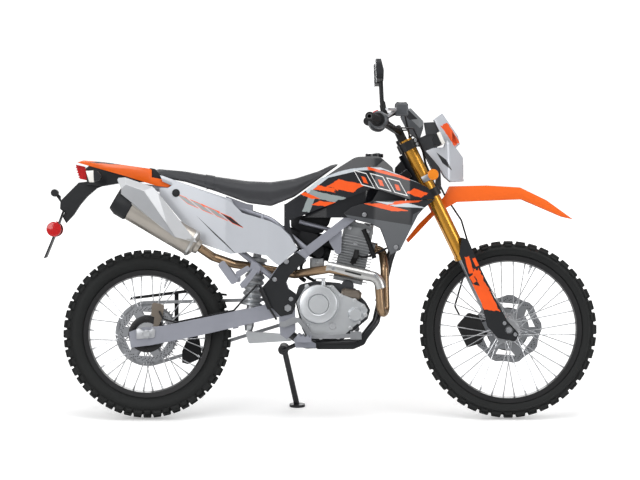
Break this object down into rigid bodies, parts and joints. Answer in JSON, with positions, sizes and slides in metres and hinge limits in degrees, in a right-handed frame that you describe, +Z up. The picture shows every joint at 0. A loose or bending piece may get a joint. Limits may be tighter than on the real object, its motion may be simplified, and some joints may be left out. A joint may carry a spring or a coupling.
{
  "type": "dual sport motorcycle",
  "caption": "Dual sport motorcycle with knobby tyres, a long travel fork, spoked wheels and a high exhaust, parked on its side stand.",
  "frame": {"origin": "centre of the bounding box, on the floor under the parked machine", "axes": "+X towards the front, +Y to the rider's left, +Z up"},
  "size_m": [2.0967, 0.8277, 1.3965],
  "materials": {
    "tyre": "matte",
    "black_rim": "satin",
    "spoked_steel": "satin",
    "disc_steel": "ground",
    "bare_steel": "satin",
    "cast_alloy": "cast",
    "silver_frame": "satin",
    "dark_frame": "satin",
    "gold_fork": "anodised",
    "black_metal": "satin",
    "black_plastic": "grained",
    "black_rubber": "matte",
    "cable_black": "satin",
    "orange_plastic": "gloss",
    "silver_plastic": "metallic gloss",
    "charcoal_plastic": "metallic gloss",
    "grey_plastic": "satin",
    "seat_cover": "grained vinyl",
    "clear_lens": "clear",
    "red_lens": "translucent",
    "signal_lens": "translucent",
    "bronze_pipe": "heat tinted",
    "satin_pipe": "satin",
    "engine_silver": "cast",
    "engine_dark": "painted"
  },
  "bodies": {
    "chassis": {"rear_axle": "bare_steel", "main_frame": "silver_frame", "frame_cradle": "dark_frame", "pivot_frames": "silver_frame", "pivot_covers": "black_plastic", "subframe": "silver_frame", "swingarm": "silver_frame", "chain": "bare_steel", "chain_guards": "black_plastic", "rear_shock": "engine_silver", "foot_pegs": "silver_frame", "foot_levers": "bare_steel", "engine_case": "engine_dark", "clutch_cover": "engine_silver", "magneto_cover": "engine_silver", "cylinder": "engine_dark", "intake": "black_plastic", "exhaust_header": "bronze_pipe", "muffler": "satin_pipe", "exhaust_shields": "satin_pipe", "fuel_tank": "charcoal_plastic", "tank_shrouds": "charcoal_plastic", "shroud_scoops": "grey_plastic", "side_panels": "silver_plastic", "seat": "seat_cover", "tail_cover": "orange_plastic", "rear_fender": "black_plastic", "tail_light": "red_lens", "rear_signals": "black_plastic", "rear_reflector": "red_lens", "rear_caliper": "engine_dark", "rear_brake_line": "cable_black", "cradle_guards": "black_plastic"},
    "fork": {"front_axle": "bare_steel", "triple_clamps": "cast_alloy", "fork_upper_tubes": "gold_fork", "fork_lowers": "bare_steel", "fork_guards": "black_plastic", "front_fender": "orange_plastic", "headlight_cowl": "silver_plastic", "headlight": "clear_lens", "instrument": "black_plastic", "handlebar": "black_metal", "hand_controls": "black_rubber", "levers": "cast_alloy", "control_cables": "cable_black", "mirrors": "black_plastic", "front_signals": "black_plastic", "front_caliper": "engine_dark"},
    "front_wheel": {"front_tyre": "tyre", "front_rim": "black_rim", "front_hub": "spoked_steel", "front_disc": "disc_steel"},
    "rear_wheel": {"rear_tyre": "tyre", "rear_rim": "black_rim", "rear_hub": "spoked_steel", "rear_disc": "disc_steel", "rear_sprocket": "disc_steel"},
    "side_stand": {"side_stand": "dark_frame"}
  },
  "joints": [
    {"name": "steering", "type": "hinge", "parent": "chassis", "child": "fork", "pos_m": [0.35391, -0.03374, 0.92901], "axis": [-0.4384, 0.1561, 0.8851], "range_deg": [-45, 45]},
    {"name": "front_wheel_spin", "type": "hinge", "parent": "fork", "child": "front_wheel", "pos_m": [0.712, -0.13865, 0.33402], "axis": [0, 0.9848, -0.1736], "continuous": true},
    {"name": "rear_wheel_spin", "type": "hinge", "parent": "chassis", "child": "rear_wheel", "pos_m": [-0.658, -0.14161, 0.31728], "axis": [0, 0.9848, -0.1736], "continuous": true},
    {"name": "side_stand_fold", "type": "hinge", "parent": "chassis", "child": "side_stand", "pos_m": [-0.14, -0.03136, 0.23996], "axis": [0.1794, 0.9453, 0.2726], "range_deg": [0, 105]}
  ]
}
